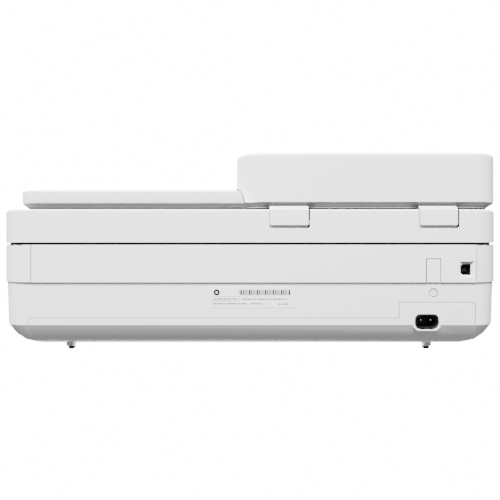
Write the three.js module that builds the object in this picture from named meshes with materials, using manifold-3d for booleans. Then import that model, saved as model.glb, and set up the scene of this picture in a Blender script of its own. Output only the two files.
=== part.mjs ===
// All-in-one inkjet printer with a document feeder, in millimetres. +Z is up, the front faces -Y, the rear faces +Y.
import * as THREE from 'three';
import { mergeVertices } from 'three/addons/utils/BufferGeometryUtils.js';
import Module from 'manifold-3d';

const wasm = await Module();
wasm.setup();

// Main sizes
const HALF_WIDTH = 216.3;
const HALF_DEPTH = 180.5;
const DEPTH_LESS = HALF_WIDTH - HALF_DEPTH;
const CORNER = 25;
const WALL = 2.4;
const SEAM = 0.3;

// Heights of the body's seams
const Z_BLOCK = 2.6;
const Z_BOTTOM = 7.8;
const Z_CHAMFER = 26.5;
const Z_PAN = 32.4;
const Z_BAY = 46.1;
const Z_MID = 62.9;
const Z_BASE_TOP = 95;
const Z_SCAN = 96.7;
const Z_SCAN_TOP = 124.6;
const Z_LID = 130.1;
const Z_LID_TOP = 141.1;
const Z_ADF = 130.9;
const Z_ADF_TOP = 173;

// Seams across the rear, along X
const PAN_X = [-191.3, 188.5];
const BAY_X = -126.6;
const MID_X = [-191.3, 184.9];
const TRAY_HALF = 128;

// Hinges, as [y, z]
const LID_PIVOT = [176.5, 113.2];
const SCAN_PIVOT = [174.5, 114.8];
const FLAPS = [[-49.3, -16.8], [-175.3, -143.3]];

// Print mechanism, as [y, z]
const RAIL = [84, 78];
const FEED = [82, 52];
const EXIT = [26, 50.5];
const IDLER = [51.01, 51.17];
const PICK_PIVOT = [118, 40];
const PICK = [88, 31];
const BELT_Y = 97.1;

// Lid and feeder plan
const LID_Y = [-172, 178.5];
const LID_X = [-216.2, 201.9];
const ADF_X = [-216.2, 12];
const PAGE_Y = -15;

const group = new THREE.Group();
group.name = 'inkjet_printer';

// ---------- shape helpers ----------

// Outline of a rectangle with rounded corners, as [u, v] points.
function rounded([u0, u1], [v0, v1], r, n = 3) {
  const points = [];
  [[u1 - r, v1 - r], [u0 + r, v1 - r], [u0 + r, v0 + r], [u1 - r, v0 + r]].forEach(([cu, cv], q) => {
    for (let i = 0; i <= n; i++) {
      const a = ((q + i / n) * Math.PI) / 2;
      points.push([cu + r * Math.cos(a), cv + r * Math.sin(a)]);
    }
  });
  return points;
}

// A closed solid from a three.js geometry.
function solid(geometry) {
  geometry.deleteAttribute('uv');
  geometry.deleteAttribute('normal');
  const merged = mergeVertices(geometry, 1e-4);
  return new wasm.Manifold(new wasm.Mesh({
    numProp: 3,
    vertProperties: new Float32Array(merged.attributes.position.array),
    triVerts: new Uint32Array(merged.index.array),
  }));
}

const add = (...list) => list.reduce((a, b) => a.add(b));
const cut = (a, ...list) => list.reduce((s, b) => s.subtract(b), a);
const keep = (a, b) => a.intersect(b);

// A box from its low and high corner on each axis.
function box([x0, x1], [y0, y1], [z0, z1]) {
  const g = new THREE.BoxGeometry(x1 - x0, y1 - y0, z1 - z0);
  return solid(g.translate((x0 + x1) / 2, (y0 + y1) / 2, (z0 + z1) / 2));
}

// An outline pushed along an axis. Outline points are [y, z] for x, [x, z] for y and [x, y] for z.
function prism(axis, points, low, high) {
  const shape = new THREE.Shape(points.map(([u, v]) => new THREE.Vector2(u, v)));
  const g = new THREE.ExtrudeGeometry(shape, { depth: high - low, bevelEnabled: false });
  const m = new THREE.Matrix4();
  const [X, Y, Z] = [new THREE.Vector3(1, 0, 0), new THREE.Vector3(0, 1, 0), new THREE.Vector3(0, 0, 1)];
  if (axis === 'x') m.makeBasis(Y, Z, X).setPosition(low, 0, 0);
  if (axis === 'y') m.makeBasis(X, Z, Y.negate()).setPosition(0, high, 0);
  if (axis === 'z') m.setPosition(0, 0, low);
  return solid(g.applyMatrix4(m));
}

// A round bar. Its centre is given in the same order as a prism's points.
function bar(axis, [u, v], r, low, high, sides = 16) {
  const ring = [];
  for (let i = 0; i < sides; i++) {
    const a = ((i + 0.5) / sides) * 2 * Math.PI;
    ring.push([u + r * Math.cos(a), v + r * Math.sin(a)]);
  }
  return prism(axis, ring, low, high);
}

// A hole that leaves a running clearance round a bar of radius r.
const bore = (axis, at, r, low, high, sides = 16) =>
  bar(axis, at, (r + 0.06) / Math.cos(Math.PI / sides), low, high, sides);

// A rounded rectangle at one height.
function ring(z, [x0, x1], [y0, y1], r, n = 5) {
  const points = [];
  const centres = [[x1 - r, y1 - r], [x0 + r, y1 - r], [x0 + r, y0 + r], [x1 - r, y0 + r]];
  centres.forEach(([cx, cy], q) => {
    for (let i = 0; i <= n; i++) {
      const a = ((q + i / n) * Math.PI) / 2;
      points.push([cx + r * Math.cos(a), cy + r * Math.sin(a), z]);
    }
  });
  return points;
}

// A solid skinned over rings of equal count, lowest first.
function loft(rings) {
  const n = rings[0].length;
  const faces = [];
  for (let k = 0; k + 1 < rings.length; k++) {
    for (let i = 0; i < n; i++) {
      const j = (i + 1) % n;
      faces.push(k * n + i, k * n + j, (k + 1) * n + j);
      faces.push(k * n + i, (k + 1) * n + j, (k + 1) * n + i);
    }
  }
  const last = (rings.length - 1) * n;
  for (let i = 1; i + 1 < n; i++) {
    faces.push(0, i + 1, i);
    faces.push(last, last + i, last + i + 1);
  }
  const g = new THREE.BufferGeometry();
  g.setAttribute('position', new THREE.Float32BufferAttribute(rings.flat(2), 3));
  g.setIndex(faces);
  return solid(g);
}

// A body slab whose plan is given by half widths at each height, as [z, half width, corner radius].
const slab = (rows) => loft(rows.map(([z, h, r]) => ring(z, [-h, h], [-(h - DEPTH_LESS), h - DEPTH_LESS], r)));

// A spur gear along X with short trapezoid teeth.
function gear([cy, cz], teeth, phase, low, high) {
  const radius = teeth;
  const points = [];
  for (let i = 0; i < teeth; i++) {
    const a = phase + (i / teeth) * 2 * Math.PI;
    const corners = [[-0.75, -1.9], [-0.42, 1.3], [0.42, 1.3], [0.75, -1.9]];
    corners.forEach(([side, height]) => {
      const t = a + (side * 1.9) / radius;
      points.push([cy + (radius + height) * Math.cos(t), cz + (radius + height) * Math.sin(t)]);
    });
  }
  return prism('x', points, low, high);
}

// Adds a named sub-part to the printer.
function part(name, body, color) {
  const mesh = body.getMesh();
  const g = new THREE.BufferGeometry();
  g.setAttribute('position', new THREE.Float32BufferAttribute(mesh.vertProperties, 3));
  g.setIndex(new THREE.BufferAttribute(new Uint32Array(mesh.triVerts), 1));
  const flat = g.toNonIndexed();
  flat.computeVertexNormals();
  const node = new THREE.Mesh(flat, new THREE.MeshStandardMaterial({ color, roughness: 0.6 }));
  node.name = name;
  group.add(node);
}

// Colours
const WHITE = 0xe4e4e4;
const GREY = 0x8c8f92;
const BLACK = 0x1c1c1e;
const STEEL = 0xb4b8bc;
const RUBBER = 0x2a2a2a;
const DARK = 0x44464a;

// ---------- base: shells ----------

const lowerOuter = slab([
  [Z_BOTTOM, 194.5, 10], [11.5, 202.5, 14], [17.5, 208.5, 18], [Z_CHAMFER, 213.6, 21], [Z_MID - SEAM, 214.7, 22],
]);
const lowerInner = slab([
  [5, 189.5, 9], [11.5, 199.6, 12], [17.5, 205.8, 16], [Z_CHAMFER, 211.2, 19], [64, 212.3, 20],
]);
const MID_HALF = HALF_WIDTH - 0.12;
const midOuter = slab([[Z_MID, MID_HALF, CORNER], [Z_BASE_TOP, MID_HALF, CORNER]]);
const midInner = slab([[60, HALF_WIDTH - WALL, CORNER - 2], [97, HALF_WIDTH - WALL, CORNER - 2]]);

// Base pan: floor, rear strip, raised inlet bay, collar round the inlet and four foot blocks
const INLET = [-150.4, 29.2];
const FEET_X = [164.3, -162];
const FEET_Y = [147.7, -147.7];
const inletPlan = (dx, dz, c) => [
  [INLET[0] - dx, INLET[1] - dz + c], [INLET[0] - dx + c, INLET[1] - dz], [INLET[0] + dx - c, INLET[1] - dz],
  [INLET[0] + dx, INLET[1] - dz + c], [INLET[0] + dx, INLET[1] + dz - c], [INLET[0] + dx - c, INLET[1] + dz],
  [INLET[0] - dx + c, INLET[1] + dz], [INLET[0] - dx, INLET[1] + dz - c],
];
{
  const strip = cut(
    keep(lowerOuter, add(
      box([PAN_X[0] + SEAM, PAN_X[1] - SEAM], [140, 190], [0, Z_PAN - SEAM]),
      prism('y', rounded([PAN_X[0] + SEAM, BAY_X - SEAM], [0, Z_BAY - SEAM], 2), 140, 190),
    )),
    lowerInner,
  );
  const floor = add(
    loft([Z_BOTTOM, 10.2].map((z) => ring(z, [-191.5, 191.5], [-155.5, 155], 8))),
    box([-180, 180], [150, 158.4], [Z_BOTTOM, 10.2]),
  );
  const blocks = FEET_X.flatMap((x) => FEET_Y.map((y) => box([x - 3.25, x + 3.25], [y - 3.25, y + 3.25], [Z_BLOCK, 8.3])));
  const collar = prism('y', inletPlan(11.4, 7.6, 3), 170, 177.7);
  const hole = prism('y', inletPlan(10.3, 6.5, 2.5), 165, 190);
  part('base_pan', cut(add(strip, floor, collar, ...blocks), hole), WHITE);
}

// Lower shell: open for the pan at the rear, for the tray at the front and for the wireless button
const WIFI = [-155.4, 54.2];
{
  const shell = cut(lowerOuter, lowerInner);
  part('lower_shell', cut(
    shell,
    box(PAN_X, [140, 190], [0, Z_PAN]),
    prism('y', rounded([PAN_X[0], BAY_X], [0, Z_BAY], 2.2), 140, 190),
    box([-TRAY_HALF, TRAY_HALF], [-190, -140], [0, 64]),
    bar('y', WIFI, 3.5, 170, 190, 20),
  ), WHITE);
}

// Mid body: rear panel, two side panels, and a frame with front fascia, deck and the scanner's hinge arms
const POWER_X = [-160.5, -149.2];
const USB_X = [-186.8, -178.7];
const USB_Z = [69.2, 77.8];
const FASCIA_X = 180;
{
  const wall = cut(midOuter, midInner);
  const rear = keep(wall, box([MID_X[0] + SEAM, MID_X[1] - SEAM], [150, 190], [50, 100]));
  part('rear_panel', cut(
    rear,
    box([POWER_X[0] - SEAM, POWER_X[1] + SEAM], [170, 190], [50, 82.8]),
    box([-189.6, -177.1], [170, 190], [67.2, 80.4]),
  ), WHITE);
  part('side_panel_left', add(
    keep(wall, box([-230, MID_X[0] + 0.01], [-190, 190], [50, 100])),
    keep(wall, box([MID_X[0], -FASCIA_X - SEAM], [-190, -150], [50, 100]))), WHITE);
  part('side_panel_right', add(
    keep(wall, box([MID_X[1], 230], [-190, 190], [50, 100])),
    keep(wall, box([FASCIA_X + SEAM, MID_X[1] + 0.01], [-190, -150], [50, 100]))), WHITE);
  const fascia = cut(
    keep(wall, box([-FASCIA_X, FASCIA_X], [-190, -150], [50, 100])),
    box([-TRAY_HALF, TRAY_HALF], [-190, -150], [50, 87]),
  );
  const deck = cut(
    add(
      loft([91.4, 93.4].map((z) => ring(z, [-213.3, 213.3], [-177.5, 177.5], 22))),
      box([-FASCIA_X + 1, FASCIA_X - 1], [-179, -170], [91.4, 93.4]),
    ),
    box([-190, 190], [12, 118], [80, 100]),
    box([-160, 160], [-165, -20], [80, 100]),
  );
  const [py, pz] = SCAN_PIVOT;
  const arms = [-1, 1].map((s) => {
    const inner = Math.min(s * 186, s * 190);
    const x = [inner, inner + 4];
    return add(
      box(x, [py - 20.5, py - 15.5], [92, pz + 4]),
      box(x, [py - 20.5, py], [pz - 4, pz + 4]),
      bar('x', SCAN_PIVOT, 4.1, x[0], x[1]),
      bar('x', SCAN_PIVOT, 2.4, Math.min(s * 189, s * 195), Math.max(s * 189, s * 195)),
    );
  });
  part('mid_frame', add(fascia, deck, ...arms), WHITE);
}

// ---------- base: rear fittings ----------

{
  const pins = [-4.3, 4.3].map((dx) => bar('y', [INLET[0] + dx, INLET[1] + 1.1], 1.15, 161, 176, 10));
  const body = cut(prism('y', inletPlan(10, 6.2, 2.4), 160, 177.6), prism('y', inletPlan(8.2, 4.4, 3.2), 163, 190));
  part('power_inlet', add(body, ...pins), BLACK);
}
part('usb_socket', cut(
  box([USB_X[0] - 1.4, USB_X[1] + 1.4], [162, 178.4], [USB_Z[0] - 1.2, USB_Z[1] + 1.2]),
  prism('y', [
    [USB_X[0], USB_Z[0]], [USB_X[1] - 1.8, USB_Z[0]], [USB_X[1], USB_Z[0] + 1.8],
    [USB_X[1], USB_Z[1] - 1.8], [USB_X[1] - 1.8, USB_Z[1]], [USB_X[0], USB_Z[1]],
  ], 166, 180),
), BLACK);
part('power_button', add(
  box(POWER_X, [177.4, HALF_DEPTH - 0.2], [Z_MID + 0.1, 82.5]),
  box([POWER_X[0] - 2, POWER_X[1] + 2], [175.6, 177.5], [65.5, 84.5]),
), WHITE);
part('wifi_button', add(
  bar('y', WIFI, 3.2, 174, 178.3, 20),
  bar('y', WIFI, 5.5, 173, 174.6, 20),
), WHITE);
const wallY = (z) => 177.8 + ((z - Z_CHAMFER) * 1.1) / (Z_MID - SEAM - Z_CHAMFER);
part('rating_label', prism('x', [
  [wallY(41.2) + 0.06, 41.2], [wallY(41.2) + 0.36, 41.2], [wallY(58.8) + 0.36, 58.8], [wallY(58.8) + 0.06, 58.8],
], -38, 35.2), 0xececec);
FEET_X.forEach((x, i) => FEET_Y.forEach((y, j) => {
  const cx = x - 0.6 * Math.sign(x);
  const name = `foot_pad_${j ? 'front' : 'rear'}_${i ? 'left' : 'right'}`;
  part(name, box([cx - 2.6, cx + 2.6], [y - 2.6, y + 2.6], [0, Z_BLOCK - 0.2]), RUBBER);
}));

// ---------- base: print mechanism ----------

// Steel chassis with bored end plates, idler axle and pick arm ears
{
  const ends = [-1, 1].map((s) => {
    const x = [Math.min(s * 194, s * 195.5), Math.max(s * 194, s * 195.5)];
    const flange = [Math.min(s * 184, s * 195.5), Math.max(s * 184, s * 195.5)];
    const plate = add(box(x, [16, 111.5], [10.6, 87.5]), box(flange, [16, 111.5], [10.6, 12.1]));
    return cut(plate, bore('x', RAIL, 4, x[0] - 1, x[1] + 1), bore('x', FEED, 3, x[0] - 1, x[1] + 1),
      bore('x', EXIT, 3, x[0] - 1, x[1] + 1));
  });
  const ears = [[-18.5, -17], [-7, -5.5]].map((x) =>
    cut(box(x, [110.2, 123], [35, 52]), bore('x', PICK_PIVOT, 2, x[0] - 1, x[1] + 1)));
  part('chassis', add(
    box([-195.5, 195.5], [110, 111.5], [46, 87.5]), ...ends, ...ears, bar('x', IDLER, 3, -203.6, -195),
  ), STEEL);
}
part('carriage_rail', bar('x', RAIL, 4, -197, 197), STEEL);
part('print_platen', cut(
  box([-124, 124], [33, 73], [45, 51]),
  box([-120, 120], [36, 70], [44, 48.8]),
  box([-112, 112], [46, 58], [49.6, 52]),
), DARK);
part('service_station', cut(box([130, 182], [32, 74], [10.8, 50]), box([136, 176], [38, 68], [42, 51])), DARK);
{
  const run = (r) => add(
    bar('z', [-173.5, BELT_Y], r, 70, 76), bar('z', [173.5, BELT_Y], r, 70, 76),
    box([-173.5, 173.5], [BELT_Y - r * 0.98, BELT_Y + r * 0.98], [70, 76]),
  );
  part('carriage_belt', cut(run(4.5), add(
    bar('z', [-173.5, BELT_Y], 3.5, 69, 77), bar('z', [173.5, BELT_Y], 3.5, 69, 77),
    box([-173.5, 173.5], [BELT_Y - 3.4, BELT_Y + 3.4], [69, 77]))), RUBBER);
}
part('carriage_motor', add(
  bar('z', [-173.5, BELT_Y], 11, 47, 66), bar('z', [-173.5, BELT_Y], 3.2, 66, 77),
), GREY);
part('power_supply', box([-196, -136], [114, 152], [10.8, 44]), DARK);
part('main_board', box([-199, -128], [114, 174], [65.8, 67.4]), 0x1f5a3a);
part('output_plate', add(
  box([-126, 126], [-174, 16], [41, 43]),
  box([-126, -124], [-174, 16], [42, 46]), box([124, 126], [-174, 16], [42, 46]),
), DARK);

// Carriage with two cartridges and their latches, parked over the service station
const CARRIAGE_X = [127, 189];
const BAYS = { black: [128.8, 157], colour: [159, 187.2] };
{
  const pockets = Object.values(BAYS).flatMap((x) => [
    box(x, [33, 70], [57, 90]), box([x[0] + 7, x[1] - 7], [40, 60], [50, 60]),
  ]);
  const shell = add(
    cut(box(CARRIAGE_X, [31, 72], [54, 84]), ...pockets),
    box([CARRIAGE_X[0] + 3, CARRIAGE_X[1] - 3], [71, 91.5], [70, 86]),
  );
  part('carriage', cut(shell, bore('x', RAIL, 4, 120, 195)), DARK);
  for (const [name, x] of Object.entries(BAYS)) {
    const body = [x[0] + 0.4, x[1] - 0.4];
    part(`cartridge_${name}`, add(
      box(body, [33.4, 69.6], [57.4, 81]), box([x[0] + 7.5, x[1] - 7.5], [40.5, 59.5], [52.6, 58]),
    ), BLACK);
    part(`latch_${name}`, add(
      box(body, [30, 66], [84.5, 86.2]), box([x[0] + 8, x[1] - 8], [29, 30.6], [81.5, 86.2]),
      bar('x', [66.5, 86], 1.6, body[0], body[1], 12),
    ), GREY);
  }
}

// Feed, exit and idler gears share one plane and are in mesh at rest
const GEAR_X = [-203, -198];
const line = Math.atan2(EXIT[1] - FEED[1], EXIT[0] - FEED[0]);
part('feed_roller', add(
  bar('x', FEED, 3, -203, 198), bar('x', FEED, 7, -118, 118, 20), gear(FEED, 16, line, ...GEAR_X),
), RUBBER);
part('idler_gear', cut(
  gear(IDLER, 15, line + Math.PI + Math.PI / 15, ...GEAR_X), bore('x', IDLER, 3, -205, -196),
), 0xd8d4c4);
part('exit_roller', add(
  bar('x', EXIT, 3, -203, 198), ...[-90, -30, 30, 90].map((x) => bar('x', EXIT, 5, x - 9, x + 9, 20)),
  gear(EXIT, 10, line + Math.PI + Math.PI / 10, ...GEAR_X),
), RUBBER);

// Pick arm and roller over the paper tray
{
  const [ay, az] = PICK_PIVOT;
  const [ry, rz] = PICK;
  const lean = Math.atan2(rz - az, ry - ay);
  const across = [-Math.sin(lean) * 3.4, Math.cos(lean) * 3.4];
  part('pick_arm', add(
    cut(add(
      prism('x', [
        [ay + across[0], az + across[1]], [ry + across[0], rz + across[1]],
        [ry - across[0], rz - across[1]], [ay - across[0], az - across[1]],
      ], -15.5, -12.6),
      bar('x', PICK, 4.2, -15.5, -12.6),
      bar('x', PICK_PIVOT, 4.2, -15.5, -8.5),
    ), bore('x', PICK, 2, -17, -12)),
    bar('x', PICK_PIVOT, 2, -18.4, -5.6),
  ), DARK);
  part('pick_roller', add(bar('x', PICK, 8, -12, 10, 20), bar('x', PICK, 2, -17, -11)), RUBBER);
}

// Paper tray with its guides, and the output extender
{
  const front = cut(
    keep(lowerOuter, box([-TRAY_HALF + 0.5, TRAY_HALF - 0.5], [-190, -150], [0, 40.5])),
    lowerInner,
    box([-22, 22], [-190, -150], [33, 45]),
  );
  part('paper_tray', add(
    front,
    box([-120, 120], [-172, 135], [12, 13.6]),
    box([-120, -118.4], [-172, 135], [12, 38]), box([118.4, 120], [-172, 135], [12, 38]),
    box([-120, 120], [133.4, 135], [12, 19.5]),
    box([-120, -118.4], [-177.5, -170], [20, 38]), box([118.4, 120], [-177.5, -170], [20, 38]),
  ), WHITE);
  [-1, 1].forEach((s) => {
    const span = (a, b) => [Math.min(s * a, s * b), Math.max(s * a, s * b)];
    part(`width_guide_${s < 0 ? 'left' : 'right'}`, add(
      box(span(108.5, 110.5), [-60, 20], [14, 34]), box(span(84, 110), [-50, 10], [14, 15.2]),
    ), GREY);
  });
  part('length_guide', add(box([-20, 20], [-166, -164], [14, 30]), box([-20, 20], [-165, -139], [14, 15.2])), GREY);
  part('output_extender', add(
    box([-46, 46], [-175, -62], [43.4, 45.2]), box([-46, 46], [-176.5, -174.5], [43.4, 49]),
  ), GREY);
}

// ---------- scanner ----------

{
  const outer = slab([
    [Z_SCAN, HALF_WIDTH, CORNER], [Z_SCAN_TOP - 1.5, HALF_WIDTH, CORNER], [Z_SCAN_TOP, HALF_WIDTH - 1.5, CORNER - 1],
  ]);
  const inner = slab([[Z_SCAN + 2.2, HALF_WIDTH - WALL, CORNER - 2], [130, HALF_WIDTH - WALL, CORNER - 2]]);
  const lz = LID_PIVOT[1];
  const [py, pz] = SCAN_PIVOT;
  const bosses = FLAPS.flatMap(([a, b]) => [[a - 5, a - 1.6], [b + 0.5, b + 4]].map((x) =>
    box(x, [171.5, 179], [107, 121.8])));
  const pockets = FLAPS.map(([a, b]) =>
    prism('y', rounded([a - 1.4, b + 0.5], [lz - 4.5, 134], 1.6), 168, 190));
  const pinBores = FLAPS.map(([a, b]) => bore('x', LID_PIVOT, 1.8, a - 6, b + 6));
  const ears = [-1, 1].map((s) => box([Math.min(s * 191, s * 195), Math.max(s * 191, s * 195)], [168, 178.5], [106, 121.8]));
  const slots = [-1, 1].flatMap((s) => {
    const x = [Math.min(s * 184, s * 190.6), Math.max(s * 184, s * 190.6)];
    return [
      box(x, [py - 26, py + 2.5], [90, 100]), box(x, [177, 179.3], [pz - 8, pz + 8]),
      bore('x', SCAN_PIVOT, 2.4, Math.min(s * 189, s * 196), Math.max(s * 189, s * 196)),
    ];
  });
  part('scanner_shell', cut(
    add(
      cut(outer, inner),
      box([-200, 190], [PAGE_Y - 4, PAGE_Y + 4], [Z_SCAN + 1, 104.3]),
      ...bosses, ...ears,
    ),
    ...pockets, ...pinBores, ...slots,
    box([-91, 91], [-190, -170], [100.3, 120.3]),
  ), WHITE);
  part('top_bezel', cut(
    loft([122.2, Z_SCAN_TOP - 0.2].map((z) => ring(z, [-213.3, 213.3], [-177.5, 177.5], 22))),
    box([-140, 168], [PAGE_Y - 110, PAGE_Y + 110], [110, 130]),
    box([-176, -156], [PAGE_Y - 110, PAGE_Y + 110], [110, 130]),
    ...FLAPS.map(([a, b]) => box([a - 6, b + 5], [167.5, 190], [110, 130])),
  ), WHITE);
}
part('platen_glass', box([-145, 172], [PAGE_Y - 114, PAGE_Y + 114], [119.7, 121.9]), 0xbfd0d0);
part('adf_glass', box([-181, -151], [PAGE_Y - 114, PAGE_Y + 114], [119.7, 121.9]), 0xbfd0d0);
part('scan_bar', cut(
  box([-175, -157], [PAGE_Y - 116, PAGE_Y + 116], [100.8, 119.1]),
  box([-180, -150], [PAGE_Y - 4.4, PAGE_Y + 4.4], [95, 104.8]),
  box([-169, -163], [PAGE_Y - 108, PAGE_Y + 108], [117, 121]),
), BLACK);
const BUTTONS = { copy: -22, cancel: 22 };
{
  const holes = Object.values(BUTTONS).map((x) => box([x - 8.4, x + 8.4], [-190, -170], [106.1, 114.9]));
  part('control_panel', cut(
    add(box([-90.6, 90.6], [-179.9, -177], [100.7, 119.9]), box([-95, 95], [-177.8, -175.8], [99.2, 121.8])), ...holes,
  ), 0x2c2e31);
  for (const [name, x] of Object.entries(BUTTONS)) {
    part(`${name}_button`, add(
      box([x - 8, x + 8], [0.25 - HALF_DEPTH, -174.5], [106.5, 114.5]), box([x - 10, x + 10], [-175.5, -174], [104.5, 116.5]),
    ), 0xd0d2d4);
  }
}

// ---------- lid and document feeder ----------

{
  const [ly, lz] = LID_PIVOT;
  const shape = (z, x, y, r) => ring(z, x, y, r);
  const plateSide = loft([
    shape(125.2, [-20, 195.1], [-166, 172.5], 17), shape(129.8, [-20, 200.9], [-171.7, 178.2], 21),
  ]);
  const plateHollow = loft([
    shape(128.2, [-20, 194], [-165, 171.5], 15), shape(131, [-20, 197.6], [-168.6, 175], 18),
  ]);
  const feedSide = loft([
    shape(127.1, [-210.4, 40], [-166, 172.5], 18), shape(130.6, [-215.8, 40], [-171.6, 178.1], 23),
  ]);
  const feedHollow = loft([
    shape(129.1, [-208.6, 60], [-164.2, 170.7], 16), shape(132, [-212, 60], [-167, 174], 20),
  ]);
  const left = box([-230, 5], [-190, 190], [120, 135]);
  const right = box([3, 230], [-190, 190], [120, 135]);
  const dish = add(
    keep(cut(plateSide, plateHollow), right),
    keep(cut(feedSide, feedHollow), left),
    keep(plateSide, box([3, 5], [-190, 190], [120, 129.4])),
  );
  const flaps = FLAPS.map(([a, b]) => add(keep(add(
    prism('x', [
      [ly - 4, lz], [HALF_DEPTH, lz], [HALF_DEPTH, 124], [178.6, 126.9], [175, 128.1], [167, 128.1], [167, 127.2],
      [ly - 4, 127.2],
    ], a, b),
    bar('x', LID_PIVOT, 4, a, b, 24),
  ), prism('y', rounded([a, b], [lz - 4, 134], 2.5), 150, 190)), bar('x', LID_PIVOT, 1.8, a - 4.4, b + 3.6)));
  part('lid_base', cut(add(dish, ...flaps), box([-3, 178], [-139, 108], [120, 127.2])), WHITE);
}
part('backing_pad', box([-148, 177], [-138, 107], [124.9, 126.9]), 0xf2f2f2);

// The edge where the feeder housing laps over the lid plate, as [x, z]
const LAP = [[5.1, 129.5], [5.1, 132], [6.3, 136.2], [8.8, 140], [12.6, 142.1]];
const lidRing = (z, inset) =>
  ring(z, [LID_X[0] + inset, LID_X[1] - inset], [LID_Y[0] + inset, LID_Y[1] - inset], 22 - inset);
{
  const outer = loft([lidRing(Z_LID, 0.8), lidRing(131.9, 0), lidRing(139.6, 0), lidRing(140.7, 0.5), lidRing(Z_LID_TOP, 1.4)]);
  const inner = loft([lidRing(128, 2.6), lidRing(139, 2.6)]);
  const edge = [...LAP.map(([x, z]) => [x + 0.4, z - 0.1]), [13, 145], [230, 145], [230, 129.5]];
  part('lid_plate', keep(cut(outer, keep(inner, box([16, 230], [-190, 190], [120, 150]))), prism('y', edge, -190, 190)),
    WHITE);
}
const COVER_X = [-207.5, -92.2];
const FLAP_X = [-91.6, 3.5];
const BAY_Y = [PAGE_Y - 114, PAGE_Y + 114];
{
  const outerRing = (z, inset, r = 23) =>
    ring(z, [ADF_X[0] + inset, ADF_X[1] - inset], [LID_Y[0] + inset, LID_Y[1] - inset], r - inset);
  const outer = loft([
    outerRing(Z_ADF, 0), outerRing(170.4, 0), outerRing(172.1, 0.8), outerRing(Z_ADF_TOP, 2.6),
  ]);
  const hollow = add(
    keep(loft([outerRing(128, WALL), outerRing(170.6, WALL)]), box([-230, 2.6], [-190, 190], [120, 150])),
    keep(loft([outerRing(128, WALL), outerRing(170.6, WALL)]), box([-230, 20], [-190, 190], [145, 180])),
  );
  part('adf_body', cut(
    outer, hollow,
    box([-208.8, 5.2], [BAY_Y[0] - 0.4, BAY_Y[1] + 0.4], [168, 180]),
    prism('y', [...LAP, [20, 142.1], [20, 129.5]], -190, 190),
  ), WHITE);
}
part('adf_cover', add(box(COVER_X, BAY_Y, [170.7, 172.9]), box([-203, -96], [BAY_Y[0] + 6, BAY_Y[0] + 8], [167.4, 171.2]),
  box([-203, -96], [BAY_Y[1] - 8, BAY_Y[1] - 6], [167.4, 171.2])), WHITE);
part('adf_input_flap', box(FLAP_X, BAY_Y, [170.7, 172.9]), WHITE);
const ADF_PICK = [-118, 158];
const ADF_FEED = [-150, 158];
const ADF_SIDES = [PAGE_Y - 119, PAGE_Y + 117];
{
  const sides = ADF_SIDES.map((y) => box([-166, -98], [y, y + 2.4], [146, 167]));
  const bores = [ADF_PICK, ADF_FEED].map((at) => bore('y', at, 2.4, -150, 120));
  part('adf_chute', cut(add(box([-206, 2], [ADF_SIDES[0], ADF_SIDES[1] + 2.4], [146, 148]), ...sides), ...bores), DARK);
}
part('adf_pick_roller', add(
  bar('y', ADF_PICK, 2.4, PAGE_Y - 120, PAGE_Y + 120), bar('y', ADF_PICK, 7.5, PAGE_Y - 24, PAGE_Y + 24, 20)), RUBBER);
part('adf_feed_roller', add(
  bar('y', ADF_FEED, 2.4, PAGE_Y - 120, PAGE_Y + 120), bar('y', ADF_FEED, 8.5, PAGE_Y - 100, PAGE_Y + 100, 20)), RUBBER);
[-1, 1].forEach((s) => {
  const span = (a, b) => [PAGE_Y + Math.min(s * a, s * b), PAGE_Y + Math.max(s * a, s * b)];
  part(`adf_guide_${s < 0 ? 'front' : 'rear'}`, add(
    box([-86, -26], span(109, 111), [148.3, 165]), box([-80, -32], span(88, 110.5), [148.3, 149.4]),
  ), GREY);
});

export default group;
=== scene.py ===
"""All-in-one inkjet printer with a document feeder, seen from the rear.

The scene is in metres, in the CAD model's frame. The piece helpers take millimetres.
"""
import math

import bmesh
import bpy
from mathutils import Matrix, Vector


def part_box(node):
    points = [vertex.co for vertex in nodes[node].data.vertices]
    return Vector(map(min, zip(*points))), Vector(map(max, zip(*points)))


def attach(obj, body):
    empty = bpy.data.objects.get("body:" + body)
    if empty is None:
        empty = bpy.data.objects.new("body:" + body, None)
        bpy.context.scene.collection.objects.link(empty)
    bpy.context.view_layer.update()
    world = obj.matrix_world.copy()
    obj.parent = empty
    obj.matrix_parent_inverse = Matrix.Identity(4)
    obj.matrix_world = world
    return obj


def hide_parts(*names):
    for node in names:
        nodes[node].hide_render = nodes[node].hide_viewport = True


MM = 0.001
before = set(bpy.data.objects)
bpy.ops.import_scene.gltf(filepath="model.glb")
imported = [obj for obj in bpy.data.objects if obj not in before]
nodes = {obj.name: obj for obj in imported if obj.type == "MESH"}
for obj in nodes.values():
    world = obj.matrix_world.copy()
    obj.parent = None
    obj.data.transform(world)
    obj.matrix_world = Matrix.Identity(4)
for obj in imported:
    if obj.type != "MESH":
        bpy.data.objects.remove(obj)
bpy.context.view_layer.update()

# ---------------------------------------------------------------- camera

EYE_HEIGHT = 90.2 * MM
REAR_Y = 180.5 * MM
CAMERA_GAP = 0.36  # from the rear face to the eye
FOCAL_PX = 427.0
FRAME_PX = 500.0

camera_data = bpy.data.cameras.new("photo_camera")
camera_data.angle = 2 * math.atan(FRAME_PX / 2 / FOCAL_PX)
camera_data.clip_start = 0.01
camera = bpy.data.objects.new("photo_camera", camera_data)
bpy.context.collection.objects.link(camera)
camera.location = (0, REAR_Y + CAMERA_GAP, EYE_HEIGHT)
camera.rotation_euler = (math.radians(90), 0, math.radians(180))
bpy.context.scene.camera = camera

# ---------------------------------------------------------------- materials


def linear(value):
    """An sRGB level from 0 to 255 as a linear value."""
    c = value / 255
    return c / 12.92 if c <= 0.04045 else ((c + 0.055) / 1.055) ** 2.4


def rgb(r, g, b):
    """A colour for a node from sRGB levels."""
    return (linear(r), linear(g), linear(b), 1.0)


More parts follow.
